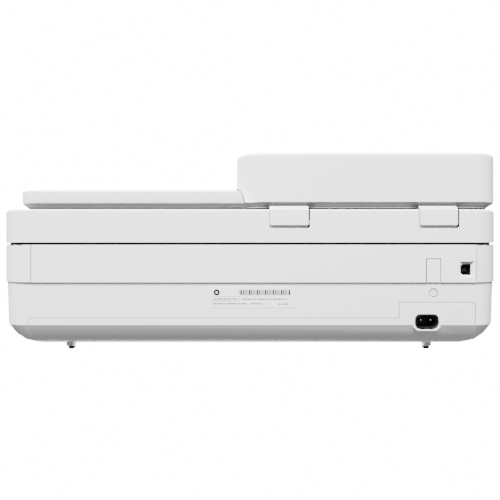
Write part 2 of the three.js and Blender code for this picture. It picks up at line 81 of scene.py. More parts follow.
class Look:
    """A small helper that builds one procedural material."""

    def __init__(self, name):
        self.mat = bpy.data.materials.new(name)
        self.mat.use_nodes = True
        self.tree = self.mat.node_tree
        self.tree.nodes.clear()
        self.out = self.tree.nodes.new("ShaderNodeOutputMaterial")
        self.shader = self.tree.nodes.new("ShaderNodeBsdfPrincipled")
        self.link(self.shader.outputs["BSDF"], self.out.inputs["Surface"])
        self.coord = self.tree.nodes.new("ShaderNodeTexCoord").outputs["Object"]

    def link(self, a, b):
        self.tree.links.new(a, b)

    def node(self, kind, **values):
        made = self.tree.nodes.new(kind)
        for key, value in values.items():
            setattr(made, key, value)
        return made

    def stretched(self, scale):
        """Object coordinates scaled by a different amount along each axis."""
        mapping = self.node("ShaderNodeMapping")
        mapping.inputs["Scale"].default_value = scale
        self.link(self.coord, mapping.inputs["Vector"])
        return mapping.outputs["Vector"]

    def noise(self, scale, detail=3.0, roughness=0.55, vector=None):
        made = self.node("ShaderNodeTexNoise")
        made.inputs["Scale"].default_value = scale
        made.inputs["Detail"].default_value = detail
        made.inputs["Roughness"].default_value = roughness
        self.link(vector or self.coord, made.inputs["Vector"])
        return made.outputs["Fac"]

    def tint(self, fac, low, high, start=0.3, end=0.7):
        """Blends the base colour from low to high as fac goes from start to end."""
        made = self.node("ShaderNodeValToRGB")
        made.color_ramp.elements[0].position = start
        made.color_ramp.elements[0].color = low
        made.color_ramp.elements[1].position = end
        made.color_ramp.elements[1].color = high
        self.link(fac, made.inputs["Fac"])
        self.link(made.outputs["Color"], self.shader.inputs["Base Color"])

    def gloss(self, fac, low, high):
        """Lets the roughness vary from low to high with fac."""
        made = self.node("ShaderNodeMapRange")
        made.inputs["To Min"].default_value = low
        made.inputs["To Max"].default_value = high
        self.link(fac, made.inputs["Value"])
        self.link(made.outputs["Result"], self.shader.inputs["Roughness"])

    def bump(self, height, strength, distance):
        made = self.node("ShaderNodeBump")
        made.inputs["Strength"].default_value = strength
        made.inputs["Distance"].default_value = distance
        self.link(height, made.inputs["Height"])
        self.link(made.outputs["Normal"], self.shader.inputs["Normal"])

    def set(self, **values):
        for key, value in values.items():
            self.shader.inputs[key.replace("_", " ")].default_value = value


def scaled(color, factor):
    """The colour made lighter or darker, and never above white."""
    return tuple(min(1.0, c * factor) for c in color[:3]) + (1.0,)


def moulded(name, color, rough=(0.42, 0.5), grain=2600.0, strength=0.12, spread=0.965):
    """Moulded plastic: a fine spark texture, a faint cloudy tint and slightly uneven gloss."""
    n = Look(name)
    n.tint(n.noise(9.0, detail=2.0), scaled(color, spread), color)
    n.gloss(n.noise(60.0, detail=4.0), *rough)
    n.bump(n.noise(grain, detail=2.0, roughness=0.6), strength, distance=0.00004)
    return n.mat


def metal(name, color, rough=(0.25, 0.42), stretch=(40, 1400, 1400), strength=0.15):
    """Sheet or bar metal with fine drawn lines."""
    n = Look(name)
    lines = n.noise(1.0, detail=4.0, roughness=0.7, vector=n.stretched(stretch))
    n.tint(lines, scaled(color, 0.8), color)
    n.gloss(lines, *rough)
    n.set(Metallic=1.0)
    n.bump(lines, strength, distance=0.00003)
    return n.mat


def rubber(name, color):
    """Matt rubber with a coarse grain."""
    n = Look(name)
    n.tint(n.noise(140.0, detail=5.0), color, scaled(color, 1.5))
    n.gloss(n.noise(300.0), 0.62, 0.85)
    n.bump(n.noise(1800.0), 0.35, distance=0.00006)
    return n.mat


def glass(name):
    """Clear glass with a faint green tint."""
    n = Look(name)
    n.tint(n.noise(14.0), rgb(226, 240, 238), rgb(240, 248, 246))
    n.gloss(n.noise(90.0), 0.02, 0.06)
    n.set(Transmission_Weight=0.92, IOR=1.5)
    return n.mat


def board(name):
    """Solder mask over faint copper tracks."""
    n = Look(name)
    wave = n.node("ShaderNodeTexWave", wave_type="BANDS", bands_direction="DIAGONAL")
    wave.inputs["Scale"].default_value = 260.0
    wave.inputs["Distortion"].default_value = 3.0
    n.link(n.coord, wave.inputs["Vector"])
    tracks = wave.outputs["Fac"]
    n.tint(tracks, rgb(14, 70, 38), rgb(30, 104, 60), start=0.45, end=0.55)
    n.gloss(n.noise(80.0), 0.25, 0.4)
    n.bump(tracks, 0.2, distance=0.00003)
    return n.mat


WHITE = moulded("white_moulded", rgb(240, 240, 240))
WHITE_LID = moulded("white_lid", rgb(241, 241, 241), rough=(0.36, 0.44), strength=0.08)
WHITE_PAN = moulded("white_pan", rgb(238, 238, 238), rough=(0.48, 0.56))
WHITE_BUTTON = moulded("white_button", rgb(243, 243, 243), rough=(0.3, 0.36), strength=0.05)
ICON = moulded("icon_print", rgb(196, 198, 200), strength=0.02)
# Painted shade: a light grey that stands for the shade along raised lines moulded in the white shell
EMBOSS_SHADE = moulded("embossed_line_painted_shade", rgb(200, 200, 201), strength=0.02)
# Near-black for lines of painted shadow in gaps and vent slots, and for the printed lines of the encoder
# strip
SHADOW_AND_PRINT = moulded("painted_shadow_and_print", rgb(40, 41, 43), rough=(0.7, 0.8))
# Painted shade: a dark grey for thin lines that stand for the shade in seams and in the gaps round buttons
SEAM_SHADE = moulded("painted_seam_shade", rgb(70, 71, 72), rough=(0.7, 0.8))
# Painted shade: a mid grey for faces that look down and are in shade
BEVEL_SHADE = moulded("painted_bevel_shade", rgb(150, 151, 152), rough=(0.6, 0.7))
# Painted shade: a dark grey for the lid's slanted under-edge and the flaps' sides, which are in shade
DISH_SHADE = moulded("painted_lid_dish_shade", rgb(100, 100, 101), rough=(0.6, 0.7))
FOOT_GREY = moulded("foot_grey", rgb(196, 197, 198), rough=(0.5, 0.6))
# Real dark plastic; the same name string is also the slot given to the pieces of painted shade
DARK = moulded("dark_plastic", rgb(52, 54, 57), spread=0.85)
DARKER = moulded("black_plastic", rgb(24, 24, 26), spread=0.8, rough=(0.35, 0.5))
GREY = moulded("grey_plastic", rgb(150, 153, 156), spread=0.92)
PANEL = moulded("panel_gloss", rgb(26, 27, 30), rough=(0.08, 0.14), grain=500.0, strength=0.01, spread=0.9)
# Near-black for the sockets, and painted shade for the dark strips in the gaps round the scanner, lid and
# flaps
SOCKET_BLACK_AND_GAP_SHADE = moulded("socket_black_and_painted_gap_shade", rgb(9, 9, 10), rough=(0.35, 0.45), spread=0.8, strength=0.05)
GEAR = moulded("acetal_gear", rgb(225, 221, 205), rough=(0.3, 0.4), spread=0.93)
PAPER_FILM = moulded("label_film", rgb(247, 247, 247), rough=(0.28, 0.34), grain=900.0, strength=0.02)
PRINT_GREY = moulded("label_grey_print", rgb(96, 97, 99), strength=0.01)
PRINT_DARK = moulded("label_dark_print", rgb(26, 27, 29), strength=0.01)
FOAM = moulded("lid_pad_film", rgb(246, 246, 245), rough=(0.5, 0.6), grain=700.0, strength=0.2)
LAMP = moulded("indicator_window", rgb(170, 205, 226), rough=(0.15, 0.2), strength=0.01)
YELLOW = moulded("ink_yellow", rgb(224, 190, 40), strength=0.02)
CYAN = moulded("ink_cyan", rgb(40, 150, 200), strength=0.02)
MAGENTA = moulded("ink_magenta", rgb(196, 44, 118), strength=0.02)
RUBBER = rubber("black_rubber", rgb(30, 30, 31))
ROLLER = rubber("roller_rubber", rgb(58, 59, 62))
STEEL = metal("sheet_steel", rgb(196, 199, 202))
BAR_STEEL = metal("ground_bar", rgb(214, 216, 219), rough=(0.12, 0.22), stretch=(8, 900, 900), strength=0.05)
PIN = metal("contact_metal", rgb(205, 200, 188), rough=(0.15, 0.25), stretch=(600, 60, 600), strength=0.03)
GOLD = metal("contact_gold", rgb(214, 178, 96), rough=(0.2, 0.3), stretch=(300, 300, 60), strength=0.05)
GLASS = glass("platen_glass_clear")
BOARD = board("circuit_board")

# ---------------------------------------------------------------- CAD nodes that stay

FINISH = {
    WHITE: "lower_shell rear_panel side_panel_left side_panel_right mid_frame scanner_shell top_bezel"
           " adf_body",
    WHITE_LID: "lid_plate lid_base adf_cover adf_input_flap",
    WHITE_PAN: "base_pan paper_tray",
    WHITE_BUTTON: "power_button wifi_button",
    DARK: "print_platen service_station output_plate carriage pick_arm adf_chute",
    DARKER: "cartridge_black cartridge_colour scan_bar",
    GREY: "latch_black latch_colour width_guide_left width_guide_right length_guide output_extender"
          " copy_button cancel_button adf_guide_front adf_guide_rear",
    PANEL: "control_panel",
    STEEL: "chassis power_supply carriage_motor",
    BAR_STEEL: "carriage_rail",
    RUBBER: "foot_pad_rear_right foot_pad_front_right foot_pad_rear_left foot_pad_front_left carriage_belt",
    ROLLER: "feed_roller exit_roller pick_roller adf_pick_roller adf_feed_roller",
    GLASS: "platen_glass adf_glass",
    BOARD: "main_board",
    FOAM: "backing_pad",
    GEAR: "idler_gear",
    SOCKET_BLACK_AND_GAP_SHADE: "power_inlet usb_socket",
    PAPER_FILM: "rating_label",
}
# Radii in millimetres of the broken edges on CAD nodes
EDGE_RADIUS = {
    "adf_body": 0.5, "lid_plate": 0.35, "base_pan": 0.25, "scanner_shell": 0.22, "lid_base": 0.2,
    "rear_panel": 0.2, "main_board": 0.12, "rating_label": 0.12, "idler_gear": 0.12, "feed_roller": 0.12,
    "exit_roller": 0.12,
}
USUAL_EDGE = 0.3
WELD_DISTANCE = 0.002 * MM
FLAT_ANGLE = math.radians(0.6)
HARD_ANGLE = math.radians(24)


def soften(obj, radius, segments=2):
    """Rounds every hard edge a little and keeps the flat faces flat."""
    weld = obj.modifiers.new("weld", "WELD")
    weld.merge_threshold = WELD_DISTANCE
    merge = obj.modifiers.new("merge_flats", "DECIMATE")
    merge.decimate_type = "DISSOLVE"
    merge.angle_limit = FLAT_ANGLE
    bevel = obj.modifiers.new("round_edges", "BEVEL")
    bevel.width = radius * MM
    bevel.segments = segments
    bevel.limit_method = "ANGLE"
    bevel.angle_limit = HARD_ANGLE
    bevel.harden_normals = False
    weighted = obj.modifiers.new("flat_normals", "WEIGHTED_NORMAL")
    weighted.keep_sharp = False
    for polygon in obj.data.polygons:
        polygon.use_smooth = True


for material, names in FINISH.items():
    for name in names.split():
        obj = nodes[name]
        obj.data.materials.clear()
        obj.data.materials.append(material)
        soften(obj, EDGE_RADIUS.get(name, USUAL_EDGE))

# ---------------------------------------------------------------- piece helpers

# How an outline point (u, v) and a depth w along each axis make x, y and z
PLACE = {
    "x": lambda u, v, w: (w, u, v),
    "y": lambda u, v, w: (u, w, v),
    "z": lambda u, v, w: (u, v, w),
}


def row_of(bm, points, depth, axis="y"):
    """One row of vertices: an outline in millimetres at a depth along the axis."""
    return [bm.verts.new(Vector(PLACE[axis](u, v, depth)) * MM) for u, v in points]


def section_rows(bm, outer, inner, depths, axis="y"):
    """Four rows of vertices round a wall's section: two on the outer line, then two on the inner one."""
    return [row_of(bm, line, w, axis) for line, w in zip((outer, outer, inner, inner), depths)]


def bridge(bm, rows, closed=True):
    """Joins each row of vertices to the next with quads."""
    for near, far in zip(rows, rows[1:]):
        count = len(near)
        for i in range(count if closed else count - 1):
            j = (i + 1) % count
            bm.faces.new((near[i], near[j], far[j], far[i]))


def piece(name, bm, material, body, slot, bevel=0.0, segments=2):
    """Makes a named piece from a bmesh, gives it a material and lets it ride on a CAD body."""
    bmesh.ops.remove_doubles(bm, verts=bm.verts, dist=1e-7)
    bmesh.ops.recalc_face_normals(bm, faces=bm.faces)
    mesh = bpy.data.meshes.new(name)
    bm.to_mesh(mesh)
    bm.free()
    obj = bpy.data.objects.new(name, mesh)
    bpy.context.collection.objects.link(obj)
    mesh.materials.append(material)
    if bevel:
        soften(obj, bevel, segments)
    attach(obj, body)
    return obj


def add_prism(bm, points, low, high, axis="y"):
    """Adds a closed prism. Points are [x, z] for y, [x, y] for z and [y, z] for x, all in millimetres."""
    lower, upper = row_of(bm, points, low, axis), row_of(bm, points, high, axis)
    bm.faces.new(lower)
    bm.faces.new(list(reversed(upper)))
    for i in range(len(points)):
        j = (i + 1) % len(points)
        bm.faces.new((lower[i], upper[i], upper[j], lower[j]))


def add_box(bm, x, y, z):
    """Adds a box from its limits along each axis."""
    add_prism(bm, [(x[0], z[0]), (x[1], z[0]), (x[1], z[1]), (x[0], z[1])], y[0], y[1])


def box_piece(name, boxes, *finish):
    """A piece made of boxes only. `finish` is what follows the bmesh in piece()."""
    bm = bmesh.new()
    for limits in boxes:
        add_box(bm, *limits)
    return piece(name, bm, *finish)


def add_ring(bm, outer, inner, low, high, axis="y"):
    """Adds a closed frame between two outlines with equal point counts."""
    rows = section_rows(bm, outer, inner, (low, high, high, low), axis)
    bridge(bm, rows + rows[:1])


def add_frame(bm, outer, inner, y_outer, y_inner, back):
    """Adds a frame whose front slopes from an outer line at y_outer to an inner line at y_inner."""
    rows = section_rows(bm, outer, inner, (back, y_outer, y_inner, back))
    bridge(bm, rows + rows[:1])


def add_cup(bm, outer, inner, back, floor, front):
    """Adds a closed cup that opens towards +Y: outer wall, rim, inner wall and floor."""
    rows = section_rows(bm, outer, inner, (back, front, front, floor))
    bridge(bm, rows)
    bm.faces.new(rows[0])
    bm.faces.new(list(reversed(rows[3])))


def add_band(bm, outer, inner, low, high):
    """Adds an upright strip with closed ends between two open plan lines of equal point counts."""
    rows = section_rows(bm, outer, inner, (low, high, high, low), "z")
    bridge(bm, rows + rows[:1], closed=False)
    bm.faces.new([row[0] for row in rows])
    bm.faces.new([row[-1] for row in reversed(rows)])


def add_rod(bm, axis, u, v, r, low, high, n=28, edge=0.3):
    """Adds a round bar with broken end edges."""
    edge = min(edge, r * 0.5, (high - low) * 0.4)
    ends = ((low, r - edge), (low + edge, r), (high - edge, r), (high, r - edge))
    rows = [row_of(bm, circle(u, v, radius, n), w, axis) for w, radius in ends]
    bridge(bm, rows)
    bm.faces.new(rows[0])
    bm.faces.new(list(reversed(rows[-1])))


def add_dome(bm, cx, cz, y0, r, depth, n=20, rings=4):
    """A pin tip: a rounded end standing out along +Y."""
    centre = bm.verts.new(Vector((cx, y0 + depth, cz)) * MM)
    turns = [k / rings * math.pi / 2 for k in range(rings, 0, -1)]
    rows = [row_of(bm, circle(cx, cz, r * math.sin(a), n), y0 + depth * math.cos(a)) for a in turns]
    bridge(bm, rows)
    for i in range(n):
        bm.faces.new((rows[-1][i], rows[-1][(i + 1) % n], centre))


def add_outline(bm, points, width, low, high, closed=True):
    """Adds a thin raised line along an [x, z] path."""
    ends = points[1:] + points[:1] if closed else points[1:]
    for (x0, z0), (x1, z1) in zip(points, ends):
        length = math.hypot(x1 - x0, z1 - z0)
        if length < 1e-6:
            continue
        nx, nz = -(z1 - z0) / length * width / 2, (x1 - x0) / length * width / 2
        corners = [(x0 + nx, z0 + nz), (x1 + nx, z1 + nz), (x1 - nx, z1 - nz), (x0 - nx, z0 - nz)]
        add_prism(bm, corners, low, high)


def rounded(cx, cz, half_w, half_h, r, n=6):
    """A rounded rectangle outline."""
    points = []
    for quarter, (sx, sz) in enumerate(((1, 1), (-1, 1), (-1, -1), (1, -1))):
        corner_x, corner_z = cx + sx * (half_w - r), cz + sz * (half_h - r)
        for i in range(n + 1):
            a = (quarter + i / n) * math.pi / 2
            points.append((corner_x + r * math.cos(a), corner_z + r * math.sin(a)))
    return points


def circle(cx, cz, r, n=32):
    """A round outline of n points."""
    turns = [2 * math.pi * i / n for i in range(n)]
    return [(cx + r * math.cos(a), cz + r * math.sin(a)) for a in turns]


def arc_line(cx, cz, r, start, end, n=6):
    """Points along an arc from start to end in degrees, as an open line."""
    steps = [math.radians(start + (end - start) * i / n) for i in range(n + 1)]
    return [(cx + r * math.cos(a), cz + r * math.sin(a)) for a in steps]


def arc(cx, cz, r0, r1, start, end, n=20):
    """A closed band outline between two radii, from start to end in degrees."""
    return arc_line(cx, cz, r1, start, end, n) + arc_line(cx, cz, r0, start, end, n)[::-1]


def signal_arcs(bm, cx, cz, radii, reach, n, limits):
    """Adds the fan of arcs of a wireless symbol, each reaching equally far to both sides of its radius."""
    for r in radii:
        add_prism(bm, arc(cx, cz, r - reach, r + reach, 48, 132, n), *limits)


def lean(bm, foot_y, foot_z, rise):
    """Moves pieces built round y = 0 onto a wall that is at foot_y at the height foot_z and leans by rise."""
    for vert in bm.verts:
        vert.co.y += (foot_y + (vert.co.z / MM - foot_z) * rise) * MM


def extent(node):
    """A CAD node's box as ((x0, x1), (y0, y1), (z0, z1)) in millimetres."""
    low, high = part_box(node)
    return tuple((low[i] / MM, high[i] / MM) for i in range(3))


def middle(pair):
    """The middle of a span."""
    return (pair[0] + pair[1]) / 2


def half(pair):
    """Half the length of a span."""
    return (pair[1] - pair[0]) / 2


def around(centre, reach):
    """The limits of a span that reaches equally far both ways."""
    return (centre - reach, centre + reach)


# ---------------------------------------------------------------- rear: mains inlet

inlet_x, inlet_y, inlet_z = extent("power_inlet")
IN_X, IN_Z = middle(inlet_x), middle(inlet_z)
IN_W, IN_H = half(inlet_x), half(inlet_z)
PIN_X = (IN_X - 4.25, IN_X + 4.25)
PIN_Z = IN_Z + 1.1
PIN_R, SLEEVE_R = 1.15, 2.3
PIN_TIP = 174.5


def figure_eight(half_w, half_h, waist, n=72):
    """A stadium outline with pinched middles."""
    straight = half_w - half_h
    line = []
    for i in range(n):
        a = 2 * math.pi * (i + 0.5) / n
        c, s = math.cos(a), math.sin(a)
        x = half_h * c + straight * max(-1.0, min(1.0, 1.9 * c))
        z = half_h * s * (1 - waist * math.exp(-((x / (0.3 * half_w)) ** 2)))
        line.append((IN_X + x, IN_Z + z))
    return line


mouth = figure_eight(IN_W, IN_H, 0.0)
bm = bmesh.new()
add_cup(bm, mouth, figure_eight(IN_W - 1.1, IN_H - 1.1, 0.06), inlet_y[0], inlet_y[0] + 3, inlet_y[1] - 0.5)
add_ring(bm, mouth, figure_eight(IN_W - 0.7, IN_H - 0.7, 0.0), inlet_y[1] - 0.6, inlet_y[1])
housing = piece("inlet_housing", bm, SOCKET_BLACK_AND_GAP_SHADE, "base", "gloss_black", 0.12)
bm = bmesh.new()
for x in PIN_X:
    add_rod(bm, "y", x, PIN_Z, SLEEVE_R, inlet_y[0] + 2.5, inlet_y[0] + 5.5, 24)
piece("inlet_insert", bm, SOCKET_BLACK_AND_GAP_SHADE, "base", "gloss_black", 0.1)
bm = bmesh.new()
for x in PIN_X:
    add_rod(bm, "y", x, PIN_Z, PIN_R, inlet_y[0] + 2, PIN_TIP + 0.1, 24, 0.05)
    add_dome(bm, x, PIN_Z, PIN_TIP, PIN_R - 0.02, 1.2, 24, 5)
piece("inlet_pins", bm, PIN, "base", "steel")
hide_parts("power_inlet")

bm = bmesh.new()
collar = rounded(IN_X, IN_Z, 11.5, 7.7, 5.6)
add_frame(bm, collar, rounded(IN_X, IN_Z, IN_W + 0.3, IN_H + 0.3, 5.0), 177.75, 177.8, 172)
piece("inlet_collar", bm, WHITE_BUTTON, "base", "white_shell", 0.15)

# ---------------------------------------------------------------- rear: USB socket

usb_x, usb_y, usb_z = extent("usb_socket")
UX, UZ = middle(usb_x), middle(usb_z)
UW, UH = half(usb_x) - 1.4, half(usb_z) - 1.2
PORT_FLOOR, PORT_MOUTH = 166, 178.3


def usb_outline(grow, cut=1.8):
    """The D shape of the port: two clipped corners on one side."""
    w, h = UW + grow, UH + grow
    return [(UX - w, UZ - h), (UX + w - cut, UZ - h), (UX + w, UZ - h + cut), (UX + w, UZ + h - cut),
            (UX + w - cut, UZ + h), (UX - w, UZ + h)]


bm = bmesh.new()
add_cup(bm, usb_outline(1.1), usb_outline(0), usb_y[0], PORT_FLOOR, PORT_MOUTH)
usb_shell = piece("usb_shell", bm, SOCKET_BLACK_AND_GAP_SHADE, "base", "gloss_black", 0.12)
bm = bmesh.new()
add_ring(bm, usb_outline(0.02), usb_outline(-0.28), PORT_FLOOR + 1, PORT_MOUTH - 0.1)
piece("usb_liner", bm, DARKER, "base", "gloss_black")
box_piece("usb_tongue", [((UX - 2.7, UX + 1.9), (PORT_FLOOR - 1, 175.2), around(UZ, 1.6))],
          DARKER, "base", "gloss_black", 0.25)
contacts = [(around(UX + dx, 0.45), (PORT_FLOOR + 1, 174.6), around(UZ + dz, 0.1))
            for dx in (-1.9, 0.9) for dz in (-1.68, 1.68)]
box_piece("usb_contacts", contacts, GOLD, "base", "steel")
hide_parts("usb_socket")

RECESS_X, RECESS_Z = (-189.5, -177.2), (67.3, 80.3)
bm = bmesh.new()
# Two more points on the +X side, so that it has as many as the port's outline
outer = [(RECESS_X[0], RECESS_Z[0]), (RECESS_X[1], RECESS_Z[0]), (RECESS_X[1], 68.6), (RECESS_X[1], 79.2),
         (RECESS_X[1], RECESS_Z[1]), (RECESS_X[0], RECESS_Z[1])]
add_frame(bm, outer, usb_outline(0.35), 180.25, 178.55, 176.4)
surround = piece("usb_surround", bm, WHITE, "base", "white_shell", 0.12)
surround.data.materials.append(BEVEL_SHADE)
# Painted shade: the recess's upper bevel faces, which look down, get a grey for the shade on them.
for polygon in surround.data.polygons:
    if polygon.normal.z < -0.3 and polygon.center.z > UZ * MM:
        polygon.material_index = 1
bm = bmesh.new()
# A raised outline round the port, grey as painted shade along the raised line.
mark = [(-190.6, 64.4), (-190.6, 81.9), (-175.6, 81.9), (-173.0, 79.3), (-173.0, 64.4)]
add_outline(bm, mark, 0.32, 180.3, 180.43, closed=False)
piece("usb_mark", bm, EMBOSS_SHADE, "base", "white_shell")

# ---------------------------------------------------------------- rear: rating label

label_x, label_y, label_z = extent("rating_label")
# Where the label's back is, how high its foot is, and how much it leans
LABEL_WALL = (label_y[0], label_z[0], (label_y[1] - label_y[0] - 0.3) / (label_z[1] - label_z[0]))
INK = (0.15, 0.2)

bm = bmesh.new()
add_prism(bm, rounded(middle(label_x), middle(label_z), half(label_x), half(label_z), 1.2), 0.0, 0.16)
lean(bm, *LABEL_WALL)
film = piece("label_film", bm, PAPER_FILM, "base", "label")
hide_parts("rating_label")


def add_dashes(bm, start, end, z, widths, gaps, step=0, depth=INK):
    """Adds dashes from x = start down to end. Their widths and gaps are taken in turn and spell nothing."""
    x = start
    while x > end:
        width = widths[step % len(widths)]
        add_box(bm, (max(end, x - width), x), depth, z)
        x -= width + gaps[step % len(gaps)]
        step += 1


bm = bmesh.new()
add_dashes(bm, 9.0, -34.2, (52.0, 56.5), (0.5, 1.4, 1.0, 0.8, 0.6), (0.4, 0.7, 0.4, 0.5))
lean(bm, *LABEL_WALL)
piece("label_bars", bm, PRINT_DARK, "base", "label")

bm = bmesh.new()
add_ring(bm, circle(28.2, 54.3, 2.7, 36), circle(28.2, 54.3, 0.9, 36), *INK)
lean(bm, *LABEL_WALL)
piece("label_disc", bm, PRINT_DARK, "base", "label")

# Rows of dashes stand for small print: the height of each row, and where it starts and ends
ROWS = (
    (48.7, 30.2, 11.0), (48.6, 7.2, -31.8), (44.6, 31.4, 2.6), (44.6, -1.0, -8.0), (44.4, -23.6, -32.6),
)
bm = bmesh.new()
add_outline(bm, [(31.6, 46.9), (8.9, 46.9), (8.9, 50.6), (31.6, 50.6)], 0.3, *INK)
for row, (z, start, end) in enumerate(ROWS):
    add_dashes(bm, start, end, around(z, 0.5), (1.5, 1.0, 2.8, 2.4, 1.9), (0.6,), row)
add_box(bm, (-9.6, -8.4), INK, (43.9, 45.1))
foot = (label_z[0] + 0.5, label_z[0] + 0.7)
add_dashes(bm, label_x[1] - 1.5, label_x[0] + 1.5, foot, (0.7,), (0.9,), depth=(0.15, 0.18))
lean(bm, *LABEL_WALL)
piece("label_lines", bm, PRINT_DARK, "base", "label")

# ---------------------------------------------------------------- rear: buttons and marks

power_x, power_y, power_z = extent("power_button")
POWER_FACE = (power_y[1] - 0.05, power_y[1] + 0.08)
PX = -155.0
bm = bmesh.new()
add_prism(bm, arc(PX, 75.2, 1.75, 2.15, 125, 415, 30), *POWER_FACE)
add_box(bm, around(PX, 0.2), POWER_FACE, (75.6, 77.9))
piece("power_symbol", bm, ICON, "power_button", "white_shell")

FLANGE = 2.0  # the button's hidden rim is this much wider than its cap
LINE_GAP = 0.55  # from the cap's edge to the middle of the line round it
line_x0, line_x1 = power_x[0] + FLANGE - LINE_GAP, power_x[1] - FLANGE + LINE_GAP
line_top = power_z[1] - FLANGE + LINE_GAP
# The line round the cap is painted shade of the gap between the cap and the wall.
power_line = [(line_x0, power_z[0]), (line_x0, line_top), (line_x1, line_top), (line_x1, power_z[0])]
bm = bmesh.new()
add_outline(bm, power_line, 0.4, 180.3, 180.4, closed=False)
piece("power_button_shade_line", bm, SEAM_SHADE, "base", "dark_plastic")

wifi_x, wifi_y, wifi_z = extent("wifi_button")
WX, WZ = middle(wifi_x), middle(wifi_z)
WIFI_FACE = (wifi_y[1] - 0.05, wifi_y[1] + 0.08)
bm = bmesh.new()
add_prism(bm, circle(WX, WZ - 1.1, 0.35, 12), *WIFI_FACE)
signal_arcs(bm, WX, WZ - 1.1, (1.0, 1.8, 2.6), 0.14, 12, WIFI_FACE)
piece("wifi_symbol", bm, ICON, "wifi_button", "white_shell")

# The lower body's rear wall: its place at the top of the chamfer, that height, and its lean
BODY_WALL = (177.8, 26.5, 1.1 / 36.1)
# Raised lines standing for the moulded lettering, grey as painted shade along the relief.
bm = bmesh.new()
add_outline(bm, [(-182.2, 29.4), (-164.6, 29.4), (-164.6, 39.0), (-182.2, 39.0)], 0.3, -0.1, 0.05)
for x0, x1, z in ((-180.6, -166.2, 36.6), (-180.6, -166.2, 34.2), (-177.0, -166.2, 31.8)):
    add_box(bm, (x0, x1), (-0.1, 0.05), around(z, 0.16))
lean(bm, *BODY_WALL)
piece("bay_mark", bm, EMBOSS_SHADE, "base", "white_shell")

# The ring round the wireless button is painted shade of the gap round it.
bm = bmesh.new()
add_ring(bm, circle(WX, WZ, 3.72, 40), circle(WX, WZ, 3.3, 40), -0.1, 0.06)
lean(bm, *BODY_WALL)
piece("wifi_gap_shade_ring", bm, SEAM_SHADE, "base", "dark_plastic")

# Painted shade: dark lines for the shade in the seam over the inlet bay and in the long seam of the base pan
STEP_X = -125.6
bay_corners = arc_line(-127.8, 44.8, 1.3, 0, 90) + arc_line(-187.6, 42.4, 3.7, 90, 180)
bm = bmesh.new()
bay_line = [(STEP_X, 32.5), (-126.5, 33.4)] + bay_corners + [(-191.3, 27.0)]
add_outline(bm, bay_line, 0.42, -0.1, 0.06, closed=False)
pan_line = [(STEP_X, 32.5)] + arc_line(186.6, 30.6, 1.9, 90, 0) + [(188.5, 27.0)]
add_outline(bm, pan_line, 0.3, -0.1, 0.05, closed=False)
lean(bm, *BODY_WALL)
piece("pan_seam_shade_line", bm, SEAM_SHADE, "base", "dark_plastic")

# ---------------------------------------------------------------- feet

bm = bmesh.new()
for end in ("rear", "front"):
    for side in ("left", "right"):
        x, y, z = extent(f"foot_pad_{end}_{side}")
        pad = bmesh.new()
        add_prism(pad, rounded(middle(x), middle(y), half(x), half(y), 0.7, 4), 0.0, z[1], "z")
        made = piece(f"foot_{end}_{side}_rubber", pad, RUBBER, "base", "rubber", 0.4, 3)
        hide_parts(f"foot_pad_{end}_{side}")
        block_x = middle(x) + math.copysign(0.6, middle(x))
        add_prism(bm, rounded(block_x, middle(y), 3.33, 3.33, 0.8, 4), 2.65, 7.9, "z")
piece("foot_blocks", bm, FOOT_GREY, "base", "grey_plastic", 0.3, 2)
bm = bmesh.new()
for x, y in ((-147.5, 148.0), (-189.0, 138.0)):
    add_rod(bm, "z", x, y, 2.4, 7.0, 9.0, 24, 0.6)
piece("underside_nubs", bm, WHITE_PAN, "base", "white_shell")

# ---------------------------------------------------------------- two-tone CAD nodes


def paint(name, material, chosen):
    """Gives another material to the faces whose centre, in millimetres, and normal are chosen."""
    mesh = nodes[name].data
    mesh.materials.append(material)
    index = len(mesh.materials) - 1
    for polygon in mesh.polygons:
        if chosen(*(nodes[name].matrix_world @ polygon.center / MM), polygon.normal):
            polygon.material_index = index


def near_axis(u0, v0, r, along="x"):
    """Chooses the faces of a bar along X or Y by their distance from its axis."""
    if along == "x":
        return lambda x, y, z, normal: math.hypot(y - u0, z - v0) < r
    return lambda x, y, z, normal: math.hypot(x - u0, z - v0) < r


def gear_face(x, y, z, normal):
    """The toothed end of a roller."""
    return -203.5 < x < -197.9


def dish_face(x, y, z, normal):
    """The slanted underside of the lid's edge, which gets painted shade."""
    return 125.5 < z < 130.5 and -0.95 < normal.z < -0.2


FLAP_X = ((-49.3, -16.8), (-175.3, -143.3))


def flap_side(x, y, z, normal):
    """The upright sides of the two hinge flaps, which get painted shade."""
    at_side = any(abs(x - edge) < 0.3 for pair in FLAP_X for edge in pair)
    return y > 166.5 and z < 128.3 and abs(normal.x) > 0.9 and at_side


for name, (u, v) in (("feed_roller", (82, 52)), ("exit_roller", (26, 50.5))):
    paint(name, BAR_STEEL, near_axis(u, v, 3.2))
    paint(name, GEAR, gear_face)
paint("pick_roller", BAR_STEEL, near_axis(88, 31, 2.2))
for name, x in (("adf_pick_roller", -118), ("adf_feed_roller", -150)):
    paint(name, BAR_STEEL, near_axis(x, 158, 2.6, along="y"))
# Painted shade on the lid: its slanted under-edge and the flaps' sides are in shade and get a dark grey.
paint("lid_base", DISH_SHADE, dish_face)
paint("lid_base", DISH_SHADE, flap_side)

HEEL = [(176.4, 109.26), (178.35, 109.32), (180.48, 111.3), (180.48, 113.5), (176.4, 113.5)]
bm = bmesh.new()
for low, high in FLAP_X:
    add_prism(bm, HEEL, low + 1.3, high - 1.3, "x")
piece("flap_heels", bm, WHITE_LID, "lid", "white_shell", 0.15)

# ---------------------------------------------------------------- painted shade: dark strips behind the gaps

